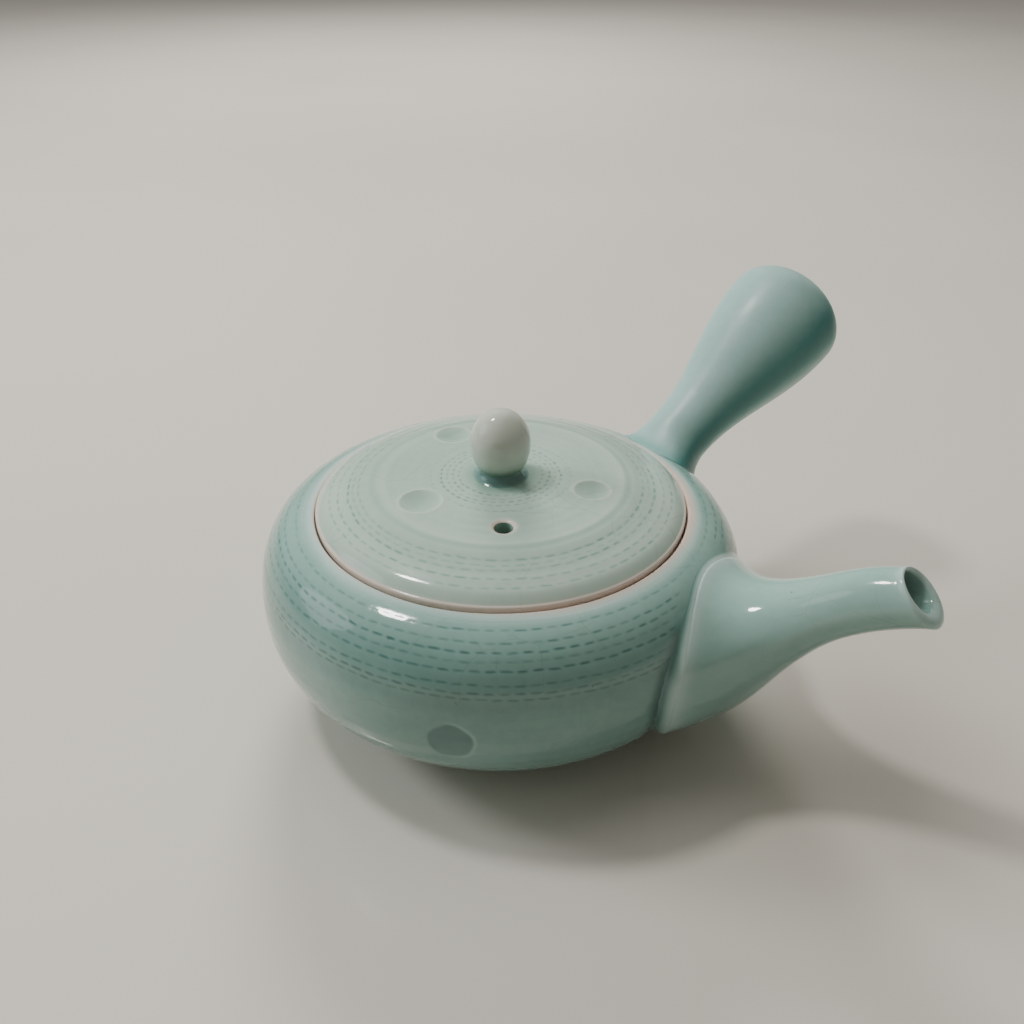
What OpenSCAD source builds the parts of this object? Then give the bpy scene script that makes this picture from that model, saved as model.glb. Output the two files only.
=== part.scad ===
// Side-handled teapot: a squashed round bowl on a foot ring, with a curved spout, a straight hollow
// handle and a lid with an egg-shaped knob. The origin is on the bowl's axis, on the face that the
// foot stands on. +Z is up and the spout points along +X. All sizes are in mm.

/* [Bowl] */
// Widest size across the bowl
bowl_w = 120; // [114:1:126]
// Height of the joint line between bowl and lid above the table
seam_h = 52; // [49:0.5:56]
// Thickness of the clay walls
wall = 4; // [3:0.5:4.5]
// Height of the foot ring under the bowl
foot_h = 4.1; // [3:0.1:5]
// Width of one hole of the strainer behind the spout
strainer_hole_w = 3.2; // [2.5:0.1:3.6]

/* [Lid] */
// Width of the lid across its edge
lid_w = 90.7; // [86:0.1:92]
// Height of the lid's crown above the joint line
crown_h = 7.1; // [6:0.1:9]
// Width of the steam hole in the lid
vent_w = 4.4; // [3:0.1:6]
// Width of the knob
knob_w = 14.4; // [12:0.1:17]

/* [Spout] */
// Distance from the bowl's axis to the middle of the spout's mouth
spout_reach = 99.5; // [96:0.5:104]
// Height of the middle of the spout's mouth above the joint line
spout_rise = 4.8; // [2:0.1:8]
// Width of the spout at its mouth
spout_tip_w = 13; // [12:0.1:15]

/* [Handle] */
// Angle between spout and handle, seen from above
handle_turn = 68; // [62:1:95]
// Angle at which the handle rises
handle_tilt = 32; // [24:1:38]
// Length of the handle, from the bowl to its end
handle_l = 65; // [58:1:75]
// Width of the handle at its thickest, near the end
handle_end_w = 34; // [30:0.5:36]
// Width of the handle at its neck
handle_neck_w = 17.8; // [17:0.1:20]

/* [Shown] */
// Piece to draw

/* [Hidden] */

$fn = 96;
glaze = [0.56, 0.70, 0.65];
pooled_glaze = [0.36, 0.50, 0.46];
thin_glaze = [0.80, 0.77, 0.70];
bare_clay = [0.74, 0.66, 0.55];

// Bowl outline: one quarter of a rounded square above the belly and another below it.
bowl_r = bowl_w / 2;
belly_h = 0.583 * seam_h;
shoulder_r = 0.655 * bowl_r;
base_r = 0.483 * bowl_r;
shoulder_power = 2.6;
belly_power = 2.17;
outline_step = 5;

// Mouth of the bowl: the lid sits in it with a loose fit and rests on a ledge.
lid_r = lid_w / 2;
loose = 0.35;
seat_r = lid_r + loose;
ring_r = seat_r + 2.7;
ledge_r = seat_r - 5.2;
ledge_depth = 3.6;

// Lid
lid_edge_h = 0.2;
break_r = 0.688 * lid_r;
break_h = crown_h - 0.8;
lid_under = seam_h - ledge_depth + 0.3;
lid_wall = 3.6;
dimples = [[-118, 22.3, 10.2], [11, 22.9, 8.8], [149, 25, 9.2]];
dimple_depth = 0.8;
vent_turn = -59;
vent_at = 23.1;
collar_h = 1.9;
knob_h = 1.17 * knob_w;
knob_mid = seam_h + crown_h + collar_h + 0.41 * knob_h;
knob_neck_r = 0.69 * knob_w / 2;

// Spout: a bent tube whose oval section shrinks from the bowl to the mouth.
spout_root = [bowl_r - 13, belly_h + 1.2];
spout_mouth = [spout_reach, seam_h + spout_rise];
spout_bend = 0.365 * norm(spout_mouth - spout_root);
spout_end_slope = 15;
mouth_cut_slope = 37;
spout_root_up = 18.5;
spout_root_down = 21;
spout_root_side = 27;
spout_rings = 16;
spout_sides = 36;
spout_edge = 2.2;
shoulder_clear_r = bowl_r - 7.5;

// Handle, along its own axis from the bowl's surface outwards
handle_root = [bowl_r - 2, seam_h - 6.5];
handle_dome = 11.6;
handle_swell_at = handle_l - handle_dome;
handle_neck_at = 7;
handle_neck_r = handle_neck_w / 2;
handle_end_r = handle_end_w / 2;
handle_hole_r = 6.5;
flare_out = 8;
flare_l = 13;

// Height of the bowl's outer surface at radius r, above the belly.
function shoulder_at(r) =
    let (across = (r - shoulder_r) / (bowl_r - shoulder_r))
    belly_h + (seam_h - belly_h) * pow(1 - pow(across, shoulder_power), 1 / shoulder_power);

// Outline of the bowl from the top down, moved outwards by grow.
function shoulder_line(grow) = [
    for (a = [0 : outline_step : 90])
        [shoulder_r + (bowl_r + grow - shoulder_r) * pow(sin(a), 2 / shoulder_power),
         belly_h + (seam_h + grow - belly_h) * pow(cos(a), 2 / shoulder_power)]
];

function belly_line(grow) = [
    for (a = [outline_step : outline_step : 90])
        [base_r + (bowl_r + grow - base_r) * pow(cos(a), 2 / belly_power),
         belly_h - (belly_h + grow - foot_h) * pow(sin(a), 2 / belly_power)]
];

// The whole bowl shape with no hollow, moved outwards by grow.
module bowl_shape(grow) {
    top = [[0, seam_h + grow]];
    bottom = [[0, foot_h - grow]];
    rotate_extrude()
        polygon(concat(top, shoulder_line(grow), belly_line(grow), bottom));
}

// The space inside the mouth ring and above the lid, which opens out like a funnel.
module mouth_space() {
    funnel_h = 20;
    translate([0, 0, seam_h - 12])
        cylinder(h = 12, r = ring_r);
    translate([0, 0, seam_h - 1])
        cylinder(h = funnel_h, r1 = ring_r, r2 = ring_r + funnel_h);
}

// One hole in the middle and two rings of holes around it, through the wall behind the spout.
module strainer_holes() {
    hole_from = bowl_r - 3 * wall;
    for (ring = [0 : 2])
        for (i = [0 : max(0, 6 * ring - 1)])
            rotate([0, 90, 0])
                rotate([0, 0, 60 * i / max(1, ring)])
                    translate([5.4 * ring - belly_h, 0, hole_from])
                        cylinder(h = 6 * wall, d = strainer_hole_w, $fn = 32);
}

module bowl() {
    groove_h = shoulder_at(bowl_r - 0.4);
    color(glaze)
        difference() {
            bowl_shape(0);
            bowl_shape(-wall);
            mouth_space();
            strainer_holes();
            rotate_extrude()
                translate([bowl_r - 0.2, groove_h])
                    circle(r = 0.6, $fn = 16);
        }
}

module foot_ring() {
    color(bare_clay)
        difference() {
            rotate_extrude()
                polygon([
                    [base_r - 1.5, 0],
                    [base_r + 1.5, 0],
                    [base_r + 2.2, 0.7],
                    [base_r + 4, foot_h + 1],
                    [base_r - 3, foot_h + 1],
                    [base_r - 2.2, 0.7]
                ]);
            bowl_shape(0);
        }
}

module mouth_ring() {
    ledge_h = seam_h - ledge_depth;
    color(thin_glaze)
        rotate_extrude()
            polygon([
                [ring_r, ledge_h - ledge_depth],
                [ring_r, shoulder_at(ring_r)],
                [seat_r + 0.6, shoulder_at(seat_r)],
                [seat_r, shoulder_at(seat_r) - 0.5],
                [seat_r, ledge_h],
                [ledge_r, ledge_h],
                [ledge_r, ledge_h - ledge_depth]
            ]);
}

// Middle line of the spout in the XZ plane, from the root at t = 0 to the mouth at t = 1.
spout_points = [
    spout_root,
    spout_root + [spout_bend, 0],
    spout_mouth - spout_bend * [cos(spout_end_slope), sin(spout_end_slope)],
    spout_mouth
];

function spout_middle(t) =
    pow(1 - t, 3) * spout_points[0]
    + 3 * pow(1 - t, 2) * t * spout_points[1]
    + 3 * (1 - t) * pow(t, 2) * spout_points[2]
    + pow(t, 3) * spout_points[3];

function spout_normal(t) =
    let (step = spout_middle(t + 0.01) - spout_middle(t - 0.01))
    [-step[1], step[0]] / norm(step);

// Half size of the spout's section, which shrinks smoothly from root at t = 0 towards tip.
function spout_half(t, root, tip, reach) =
    tip + (root - tip) * exp(-pow(max(t, 0) / reach, 2.2));

// A point on the spout's surface, inset from the outside by the given amount.
function spout_point(t, turn, inset) =
    let (
        tip = spout_tip_w / 2 - min(inset, 2.3),
        up = spout_half(t, spout_root_up - inset, tip, 0.32),
        down = spout_half(t, spout_root_down - inset, tip, 0.33),
        side = spout_half(t, spout_root_side - inset, tip, 0.41),
        lift = (sin(turn) > 0 ? up : down) * sin(turn),
        at = spout_middle(t) + lift * spout_normal(t)
    )
    [at[0], side * cos(turn), at[1]];

// The spout as a solid bar with closed ends, from t_from to t_to.
module spout_bar(inset, t_from, t_to) {
    points = [
        for (i = [0 : spout_rings], j = [0 : spout_sides - 1])
            spout_point(t_from + (t_to - t_from) * i / spout_rings, 360 * j / spout_sides, inset)
    ];
    last = spout_rings * spout_sides;
    walls = [
        for (i = [0 : spout_rings - 1], j = [0 : spout_sides - 1])
            let (
                a = i * spout_sides + j,
                b = i * spout_sides + (j + 1) % spout_sides
            )
            each [[a, a + spout_sides, b], [b, a + spout_sides, b + spout_sides]]
    ];
    root_end = [for (j = [0 : spout_sides - 1]) j];
    mouth_end = [for (j = [0 : spout_sides - 1]) last + spout_sides - 1 - j];
    polyhedron(points = points, faces = concat([root_end], walls, [mouth_end]));
}

module spout() {
    color(glaze)
        difference() {
            spout_bar(0, 0.02, 1.12);
            spout_bar(wall - 0.5, 0, 1.16);
            bowl_shape(0);
            translate([spout_mouth[0], 0, spout_mouth[1]])
                rotate([0, -mouth_cut_slope, 0])
                    translate([0, -20, -25])
                        cube([30, 40, 50]);
        }
}

// The edge of the spout's root, standing proud of the bowl all round it. It keeps clear of the
// bowl's shoulder, where the surface is too level to carry an edge.
module spout_seam() {
    color(glaze)
        difference() {
            intersection() {
                spout_bar(-1.2, 0.07, 0.6);
                bowl_shape(spout_edge);
            }
            spout_bar(0, 0.02, 1.12);
            bowl_shape(0);
            cylinder(h = 2 * seam_h, r = shoulder_clear_r);
        }
}

// Puts what is drawn along +Z onto the handle's axis.
module on_handle() {
    rotate([0, 0, handle_turn])
        translate([handle_root[0], 0, handle_root[1]])
            rotate([0, 90 - handle_tilt, 0])
                children();
}

// Radius of the handle at distance s from the bowl.
function handle_radius(s) =
    let (turn = 180 * max(0, s - handle_neck_at) / (handle_swell_at - handle_neck_at))
    handle_neck_r + (handle_end_r - handle_neck_r) * (1 - cos(turn)) / 2;

// The horn shape of the handle with a domed end, inset from the outside.
module handle_shape(inset) {
    root = [[0, -14], [handle_neck_r - inset, -14]];
    horn = [
        for (i = [0 : 12])
            let (s = handle_neck_at + (handle_swell_at - handle_neck_at) * i / 12)
            [handle_radius(s) - inset, s]
    ];
    dome = [
        for (a = [10 : 10 : 90])
            [(handle_end_r - inset) * cos(a), handle_swell_at + (handle_dome - inset) * sin(a)]
    ];
    rotate_extrude()
        polygon(concat(root, horn, dome));
}

module handle() {
    color(glaze)
        difference() {
            on_handle()
                difference() {
                    handle_shape(0);
                    handle_shape(wall - 0.5);
                    translate([0, 0, handle_swell_at])
                        cylinder(h = 20, r = handle_hole_r);
                }
            bowl_shape(0);
            mouth_space();
        }
}

// The flared joint that runs from the handle's neck down onto the bowl.
module handle_seam() {
    flare = [
        for (i = [0 : 10])
            [handle_neck_r + flare_out * pow(i / 10, 1.8), handle_neck_at - flare_l * i / 10]
    ];
    inner = [
        [handle_neck_r + flare_out, -14],
        [handle_neck_r, -14]
    ];
    color(glaze)
        difference() {
            on_handle()
                rotate_extrude()
                    polygon(concat(flare, inner));
            bowl_shape(0);
            mouth_space();
        }
}

// Locating ring under the lid, inside the ledge.
module lid_flange() {
    flange_top = seam_h - ledge_depth;
    color(bare_clay)
        rotate_extrude()
            polygon([
                [ledge_r - 0.6, flange_top],
                [ledge_r - 0.6, flange_top - 5.6],
                [ledge_r - 1.4, flange_top - 6.4],
                [ledge_r - 2.8, flange_top - 6.4],
                [ledge_r - 3.6, flange_top - 5.6],
                [ledge_r - 3.6, flange_top]
            ]);
}

// Height of the lid's crown at radius r, inside the line where the slope begins.
function crown_at(r) = seam_h + break_h + (crown_h - break_h) * (1 - pow(r / break_r, 2));

// Outline of the crown from the middle out to where the slope begins.
crown_line = [for (i = [0 : 8]) [break_r * i / 8, crown_at(break_r * i / 8)]];

module lid_plate() {
    edge = [
        [lid_r - 0.5, seam_h + lid_edge_h + 0.3],
        [lid_r, seam_h + lid_edge_h - 0.3],
        [lid_r, lid_under + 0.6],
        [lid_r - 0.6, lid_under]
    ];
    underside = [
        [ledge_r - 4.5, lid_under],
        [break_r - 3, seam_h + break_h - lid_wall],
        [0, seam_h + crown_h - lid_wall]
    ];
    color(glaze)
        difference() {
            rotate_extrude()
                polygon(concat(crown_line, edge, underside));
            rotate_extrude()
                translate([break_r, seam_h + break_h + 0.3])
                    circle(r = 0.6, $fn = 16);
            for (d = dimples)
                dimple(d[0], d[1], d[2]);
            rotate([0, 0, vent_turn])
                translate([vent_at, 0, seam_h])
                    cylinder(h = 20, d = vent_w, center = true, $fn = 48);
        }
}

// A thumb-pressed hollow, cut with the side of a ball.
module dimple(turn, at, width) {
    ball_r = (pow(width / 2, 2) + pow(dimple_depth, 2)) / (2 * dimple_depth);
    rotate([0, 0, turn])
        translate([at, 0, crown_at(at) - dimple_depth + ball_r])
            sphere(r = ball_r);
}

// The knob is an egg with a full lower half, cut flat where it stands on the collar.
module knob() {
    knob_r = knob_w / 2;
    foot_at = seam_h + crown_h + collar_h;
    upper = [
        for (a = [90 : -6 : 0])
            [knob_r * cos(a), knob_mid + knob_h / 2 * sin(a)]
    ];
    lower = [
        for (a = [-6 : -6 : -48])
            [knob_r * pow(cos(a), 0.62), knob_mid + knob_h / 2 * sin(a)]
    ];
    neck = [[knob_neck_r, foot_at], [0, foot_at]];
    color(glaze)
        rotate_extrude()
            polygon(concat(upper, lower, neck));
}

// The knob's dished collar, full of pooled glaze.
module knob_collar() {
    reach = 2.8;
    collar_foot = seam_h + crown_h;
    color(pooled_glaze)
        difference() {
            rotate_extrude()
                difference() {
                    translate([0, collar_foot - 0.5])
                        square([knob_neck_r + reach, collar_h + 0.5]);
                    translate([knob_neck_r + reach, collar_foot + collar_h])
                        circle(r = reach);
                }
            crown_shape();
        }
}

// The top of the lid as a solid, used to shape what stands on it.
module crown_shape() {
    rotate_extrude()
        polygon(concat(crown_line, [[break_r, seam_h], [0, seam_h]]));
}

bowl();
foot_ring();
mouth_ring();
spout();
spout_seam();
handle();
handle_seam();
lid_flange();
lid_plate();
knob();
knob_collar();
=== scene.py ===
# Looks of the side-handled celadon teapot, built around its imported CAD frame.
# Shapes are worked out in millimetres and turned into metres when a mesh is made.
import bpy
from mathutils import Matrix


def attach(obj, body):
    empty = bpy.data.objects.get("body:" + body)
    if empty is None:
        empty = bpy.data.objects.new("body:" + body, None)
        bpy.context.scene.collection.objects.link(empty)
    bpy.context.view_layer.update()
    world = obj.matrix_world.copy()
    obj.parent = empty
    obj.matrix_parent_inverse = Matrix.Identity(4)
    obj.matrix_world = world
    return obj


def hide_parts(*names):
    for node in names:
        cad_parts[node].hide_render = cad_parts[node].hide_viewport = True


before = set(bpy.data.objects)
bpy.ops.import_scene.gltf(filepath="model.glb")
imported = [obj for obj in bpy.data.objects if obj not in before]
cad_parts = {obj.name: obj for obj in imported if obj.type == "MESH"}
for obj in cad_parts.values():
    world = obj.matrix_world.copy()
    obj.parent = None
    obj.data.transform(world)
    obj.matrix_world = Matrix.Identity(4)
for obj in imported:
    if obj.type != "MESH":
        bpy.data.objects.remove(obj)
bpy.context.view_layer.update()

import math

import bmesh
import bpy
import numpy as np
from mathutils import Vector

MM = 0.001
random = np.random.default_rng(7)

# Bowl
BOWL_R = 60.0
SEAM_H = 52.0
WALL = 4.0
FOOT_H = 4.1
BELLY_H = 0.583 * SEAM_H
SHOULDER_R = 0.655 * BOWL_R
BASE_R = 0.483 * BOWL_R
SHOULDER_POWER = 2.6
BELLY_POWER = 2.17
GROOVE_H = SEAM_H - 14.8
DASHES_FROM_H = SEAM_H - 16.5
STRAINER_HOLE_R = 1.6
STRAINER_PITCH = 5.4
BELLY_DOTS = [-71, 49, 169]
BELLY_DOT_H = 27.0
BELLY_DOT_R = 5.0

# Radius and strength of each ring of dashes: on the bowl, on the lid and round the knob
BOWL_DASHES = [(50.3, 0.7), (52.8, 0.8), (54.4, 1.0), (55.7, 0.55), (56.9, 1.0), (58.3, 0.55),
               (58.9, 0.95), (59.25, 0.85)]
LID_DASHES = [(41.7, 0.85), (39.6, 0.95), (37.3, 0.95), (36.0, 0.5), (34.6, 0.8)]
KNOB_DASHES = [(10.2, 0.75), (11.8, 0.8), (13.2, 0.7), (14.6, 0.9), (17.0, 0.4)]

# Mouth and lid
LID_R = 45.35
SEAT_R = 45.7
RING_R = 48.4
LEDGE_R = 40.5
LEDGE_H = SEAM_H - 3.6
CROWN_H = 7.1
BREAK_R = 31.2
BREAK_H = 6.3
LID_UNDER = SEAM_H - 3.3
LID_WALL = 3.6
EDGE_H = 0.2
# Turn, distance from the middle and half width of each dimple in the lid
DIMPLES = [(-118, 22.3, 5.1), (11, 22.9, 4.4), (149, 25.0, 4.6)]
DIMPLE_DEPTH = 1.1
VENT_TURN = -59
VENT_AT = 23.1
VENT_R = 2.2
VENT = (
    VENT_AT * math.cos(math.radians(VENT_TURN)),
    VENT_AT * math.sin(math.radians(VENT_TURN)),
)
KNOB_R = 7.2
KNOB_HALF_H = 8.42
KNOB_MID = 67.9
COLLAR_H = 1.9
KNOB_FOOT = SEAM_H + CROWN_H + COLLAR_H

# Spout. It lies in the XZ plane, and points are (x, z).
SPOUT_ROOT = np.array([47.0, 31.5])
SPOUT_MOUTH = np.array([99.2, 57.1])
SPOUT_END_SLOPE = 15
SPOUT_BEND = 21.3
SPOUT_TIP_R = 6.45
SPOUT_LIP = 1.15
# Half size of its section at the root, and how far along it has mostly shrunk to the tip's
SPOUT_UP = (24.0, 0.345)
SPOUT_DOWN = (31.0, 0.325)
SPOUT_SIDE = (32.8, 0.37)
SPOUT_BASE_H = 27.9
SPOUT_BASE_UP = 20.5
SPOUT_BASE_SIDE = 23.2
SPOUT_CUT_UP = np.array([-0.731, 0.682])
SPOUT_CUT_STRETCH = 1.13
SPOUT_LEAN = 0.55
SPOUT_EDGE = 2.0
SPOUT_FIT = 0.55
SPOUT_ROWS = 70
LIP_ROWS = 12
# How far the edges of spout and seam reach into the bowl, and the seam's reach to both sides
TUCK = 0.8
SEAM_INNER = 1.4
SEAM_OUTER = 3.6

# Handle
HANDLE_TURN = math.radians(68)
HANDLE_TILT = math.radians(32)
HANDLE_ROOT_R = 58
HANDLE_ROOT = np.array([
    HANDLE_ROOT_R * math.cos(HANDLE_TURN),
    HANDLE_ROOT_R * math.sin(HANDLE_TURN),
    45.5,
])
HANDLE_NECK_AT = 7.0
HANDLE_SWELL_AT = 53.4
HANDLE_DOME = 11.6
HANDLE_NECK_R = 8.9
HANDLE_END_R = 17.0
HANDLE_HOLE_R = 6.5
HANDLE_LIP = 1.2
HANDLE_WALL = 3.5
HANDLE_FOOT_R = 12.2
# Turn round the handle of the darker band: painted shade, partly thick glaze
HANDLE_SHADE_TURN = math.radians(186)

# The first row of faces at a join is this narrow, so that its shading runs on unbroken.
JOIN = 0.03

# How many columns a full turn is cut into
FINE_COLUMNS = 1100
LID_COLUMNS = 900
SMALL_COLUMNS = 192
HOLE_SIDES = 40

COARSE_BY = 1.0

# Distances are worked out for this many points at a time
BATCH = 4000

# Floor, middle of the light and camera, in metres
FLOOR_HALF = 12.0
LIT_POINT = (0, 0, 0.04)
SENSOR_WIDTH = 36.0
CAMERA_LENS = 37.23
CAMERA_AT = (0.11109, -0.19480, 0.186875)
CAMERA_TURNS = (58.26, 0.0, 29.0)


# Shape helpers

def smooth_step(x):
    """0 below 0, 1 above 1, and a smooth rise between them."""
    x = np.clip(x, 0, 1)
    return x * x * (3 - 2 * x)


def hump(x, width):
    """A smooth hump that is 1 at x = 0 and fades out over about the width."""
    return np.exp(-(x / width) ** 2)


def plateau(x, half):
    """Like hump, with a flat top and steeper sides."""
    return np.exp(-np.abs(x / half) ** 4)


def arc(centre, radius, start, end, count=8):
    """Points (r, z) on an arc, with its angles in degrees."""
    turns = np.radians(np.linspace(start, end, count))
    return [(centre[0] + radius * math.cos(a), centre[1] + radius * math.sin(a)) for a in turns]


def resample(line, spacing_at):
    """Points along a line of (r, z), as far apart as spacing_at says for each place on it."""
    line = np.array(line, float)
    along = np.concatenate([[0], np.cumsum(np.hypot(*np.diff(line, axis=0).T))])
    places = [0.0]
    while places[-1] < along[-1]:
        r = np.interp(places[-1], along, line[:, 0])
        z = np.interp(places[-1], along, line[:, 1])
        places.append(places[-1] + spacing_at(r, z))
    places[-1] = along[-1]
    return np.column_stack([np.interp(places, along, line[:, k]) for k in (0, 1)])


def line_normals(line):
    """Unit normals of a line of (r, z), on the left of the way that it runs."""
    step = np.gradient(line, axis=0)
    normal = np.column_stack([-step[:, 1], step[:, 0]])
    return normal / np.linalg.norm(normal, axis=1)[:, None]


def turns_of(columns):
    """Even turns round a circle, one for each column, in radians."""
    return np.arange(columns) * 2 * math.pi / columns


def turn_from(turns, middle):
    """How far each turn is from a middle one, at most half a turn either way."""
    return (turns - middle + math.pi) % (2 * math.pi) - math.pi


def with_narrow_start(line):
    """Adds a point just after the first, so that shading runs on unbroken to the next piece."""
    return np.insert(line, 1, line[0] * 0.9 + line[1] * 0.1, axis=0)


def revolve(line, columns, lift=None):
    """Grid of points from a line of (r, z) turned about Z, moved along its normals by lift."""
    turns = turns_of(columns)
    r = np.repeat(line[:, :1], columns, axis=1)
    z = np.repeat(line[:, 1:], columns, axis=1)
    if lift is not None:
        normal = line_normals(line)
        r = r + normal[:, :1] * lift
        z = z + normal[:, 1:] * lift
    return np.stack([r * np.cos(turns), r * np.sin(turns), z], axis=2)


def grid_faces(rows, columns):
    """Four-sided faces of a grid that closes on itself both ways."""
    i, j = np.meshgrid(np.arange(rows), np.arange(columns), indexing="ij")
    down = (i + 1) % rows
    along = (j + 1) % columns
    corners = [i * columns + j, down * columns + j, down * columns + along, i * columns + along]
    return np.stack(corners, axis=2).reshape(-1, 4)


def make_piece(name, grid, pool, material, body):
    """A solid piece from a closed grid of points, which stands for the CAD node of that name."""
    rows, columns = grid.shape[:2]
    points = grid.reshape(-1, 3) * MM
    faces = grid_faces(rows, columns)
    a, b, c, d = (points[faces[:, k]] for k in range(4))
    volume = np.sum(a * np.cross(b, c)) + np.sum(a * np.cross(c, d))
    if volume < 0:
        faces = faces[:, ::-1]
    mesh = bpy.data.meshes.new(name)
    mesh.from_pydata(points.tolist(), [], faces.tolist())
    values = np.broadcast_to(pool, (rows, columns)).astype(np.float32)
    mesh.attributes.new("pool", "FLOAT", "POINT").data.foreach_set("value", values.ravel())
    bm = bmesh.new()
    bm.from_mesh(mesh)
    bmesh.ops.remove_doubles(bm, verts=bm.verts, dist=1e-7)
    bm.to_mesh(mesh)
    bm.free()
    mesh.shade_smooth()
    mesh.materials.append(material)
    obj = bpy.data.objects.new(name + "_look", mesh)
    bpy.context.scene.collection.objects.link(obj)
    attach(obj, body)
    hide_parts(name)
    return obj


def add_rod(bm, start, end, radius):
    """Adds a closed round rod from start to end, in mm, to a bmesh."""
    start = Vector(start) * MM
    end = Vector(end) * MM
    turn = (end - start).to_track_quat("Z", "Y").to_matrix()
    rings = []
    for foot in (start, end):
        ring = []
        for a in turns_of(HOLE_SIDES):
            across = turn @ Vector((math.cos(a), math.sin(a), 0))
            ring.append(bm.verts.new(foot + across * radius * MM))
        rings.append(ring)
    bm.faces.new(rings[0][::-1])
    bm.faces.new(rings[1])
    for k in range(HOLE_SIDES):
        after = (k + 1) % HOLE_SIDES
        bm.faces.new([rings[0][k], rings[0][after], rings[1][after], rings[1][k]])


def pierce(obj, holes):
    """Cuts round holes through a piece. Each hole is (start, end, radius), in mm."""
    bm = bmesh.new()
    for start, end, radius in holes:
        add_rod(bm, start, end, radius)
    mesh = bpy.data.meshes.new("cutter")
    bm.to_mesh(mesh)
    bm.free()
    cutter = bpy.data.objects.new("cutter", mesh)
    bpy.context.scene.collection.objects.link(cutter)
    cut = obj.modifiers.new("holes", "BOOLEAN")
    cut.operation = "DIFFERENCE"
    cut.solver = "MANIFOLD"
    cut.object = cutter
    graph = bpy.context.evaluated_depsgraph_get()
    pierced = bpy.data.meshes.new_from_object(obj.evaluated_get(graph))
    obj.modifiers.clear()
    obj.data = pierced
    bpy.data.objects.remove(cutter)


# Bowl outline

def outline(grow=0.0, first_r=0.0):
    """The bowl's outline from its mouth down to the middle of its base, moved out by grow."""
    wide = BOWL_R + grow
    top = SEAM_H + grow
    a = np.linspace(0, math.pi / 2, 240)
    shoulder_r = SHOULDER_R + (wide - SHOULDER_R) * np.sin(a) ** (2 / SHOULDER_POWER)
    shoulder_z = BELLY_H + (top - BELLY_H) * np.cos(a) ** (2 / SHOULDER_POWER)
    belly_r = BASE_R + (wide - BASE_R) * np.cos(a[1:]) ** (2 / BELLY_POWER)
    belly_z = BELLY_H - (BELLY_H + grow - FOOT_H) * np.sin(a[1:]) ** (2 / BELLY_POWER)
    kept = shoulder_r > first_r
    r = np.concatenate([[first_r], shoulder_r[kept], belly_r, [0]])
    start_z = np.interp(first_r, shoulder_r, shoulder_z)
    z = np.concatenate([[start_z], shoulder_z[kept], belly_z, [FOOT_H - grow]])
    return np.column_stack([r, z])


WHOLE_OUTLINE = outline(0.0, SHOULDER_R)


def bowl_radius(z):
    """Outer radius of the bowl at height z."""
    line = WHOLE_OUTLINE[::-1]
    return np.interp(z, line[:, 1], line[:, 0])


def shoulder_height(r):
    """Height of the bowl's surface at radius r, above its widest place."""
    shoulder = WHOLE_OUTLINE[WHOLE_OUTLINE[:, 1] > BELLY_H]
    return np.interp(r, shoulder[:, 0], shoulder[:, 1])


def bowl_normal(points):
    """Unit normals of the bowl's surface at points that lie on it."""
    x, y, z = points.T
    slope = (bowl_radius(z + 0.2) - bowl_radius(z - 0.2)) / 0.4
    r = np.hypot(x, y)
    normal = np.column_stack([x / r, y / r, -slope])
    return normal / np.linalg.norm(normal, axis=1)[:, None]


# Marks in the glaze

def dash_rings(line, columns, rings, dash_l=2.5, dash_w=0.52, pitch=3.3):
    """How deep each point lies in a ring of short pressed dashes, from 0 to 1.
    rings holds the radius and the strength of each ring."""
    turns = turns_of(columns)
    along = np.concatenate([[0], np.cumsum(np.hypot(*np.diff(line, axis=0).T))])
    rising = np.maximum.accumulate(line[:, 0])
    marks = np.zeros((len(line), columns))
    for ring_r, strength in rings:
        count = round(2 * math.pi * ring_r / pitch)
        step = 2 * math.pi / count
        offset = random.uniform(0, step)
        index = np.floor(((turns - offset) % (2 * math.pi)) / step).astype(int) % count
        from_middle = ((turns - offset) % (2 * math.pi) - (index + 0.5) * step) * ring_r
        half_l = dash_l / 2 * random.uniform(0.8, 1.12, count)[index]
        lean = random.normal(0, 0.03, count)[index] * from_middle
        wander = random.normal(0, 0.06, count)[index] + 0.1 * np.sin(3 * turns + ring_r)
        force = strength * random.uniform(0.5, 1.0, count)[index]
        force = force * (0.8 + 0.2 * np.sin(2 * turns + 1.7 * ring_r))
        at = np.interp(ring_r, rising, along)
        across = along[:, None] - at - (wander + lean)[None, :]
        shape = plateau(from_middle / half_l, 1)[None, :] * plateau(across, dash_w / 2)
        marks = np.maximum(marks, shape * force[None, :])
    return marks


def distance_to(points, curve, reach):
    """Distance from each point to a closed curve, counted only up to reach."""
    found = np.full(len(points), reach, float)
    low = curve.min(0) - reach
    high = curve.max(0) + reach
    near = np.flatnonzero(np.all((points > low) & (points < high), axis=1))
    for start in range(0, len(near), BATCH):
        part = near[start:start + BATCH]
        gaps = np.linalg.norm(points[part][:, None] - curve[None], axis=2).min(1)
        found[part] = np.minimum(gaps, reach)
    return found


# Spout

def spout_middle(t):
    """The spout's middle line in the XZ plane, from the bowl at t = 0 to its mouth at t = 1."""
    t = np.asarray(t, float)[..., None]
    slope = math.radians(SPOUT_END_SLOPE)
    second = SPOUT_ROOT + [SPOUT_BEND, 0]
    third = SPOUT_MOUTH - SPOUT_BEND * np.array([math.cos(slope), math.sin(slope)])
    return ((1 - t) ** 3 * SPOUT_ROOT + 3 * (1 - t) ** 2 * t * second
            + 3 * (1 - t) * t ** 2 * third + t ** 3 * SPOUT_MOUTH)


def spout_half(t, root, reach):
    """Half size of the spout's section at t, which shrinks from root to the tip's."""
    return SPOUT_TIP_R + (root - SPOUT_TIP_R) * np.exp(-(np.maximum(t, 0) / reach) ** 1.8)


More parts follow.
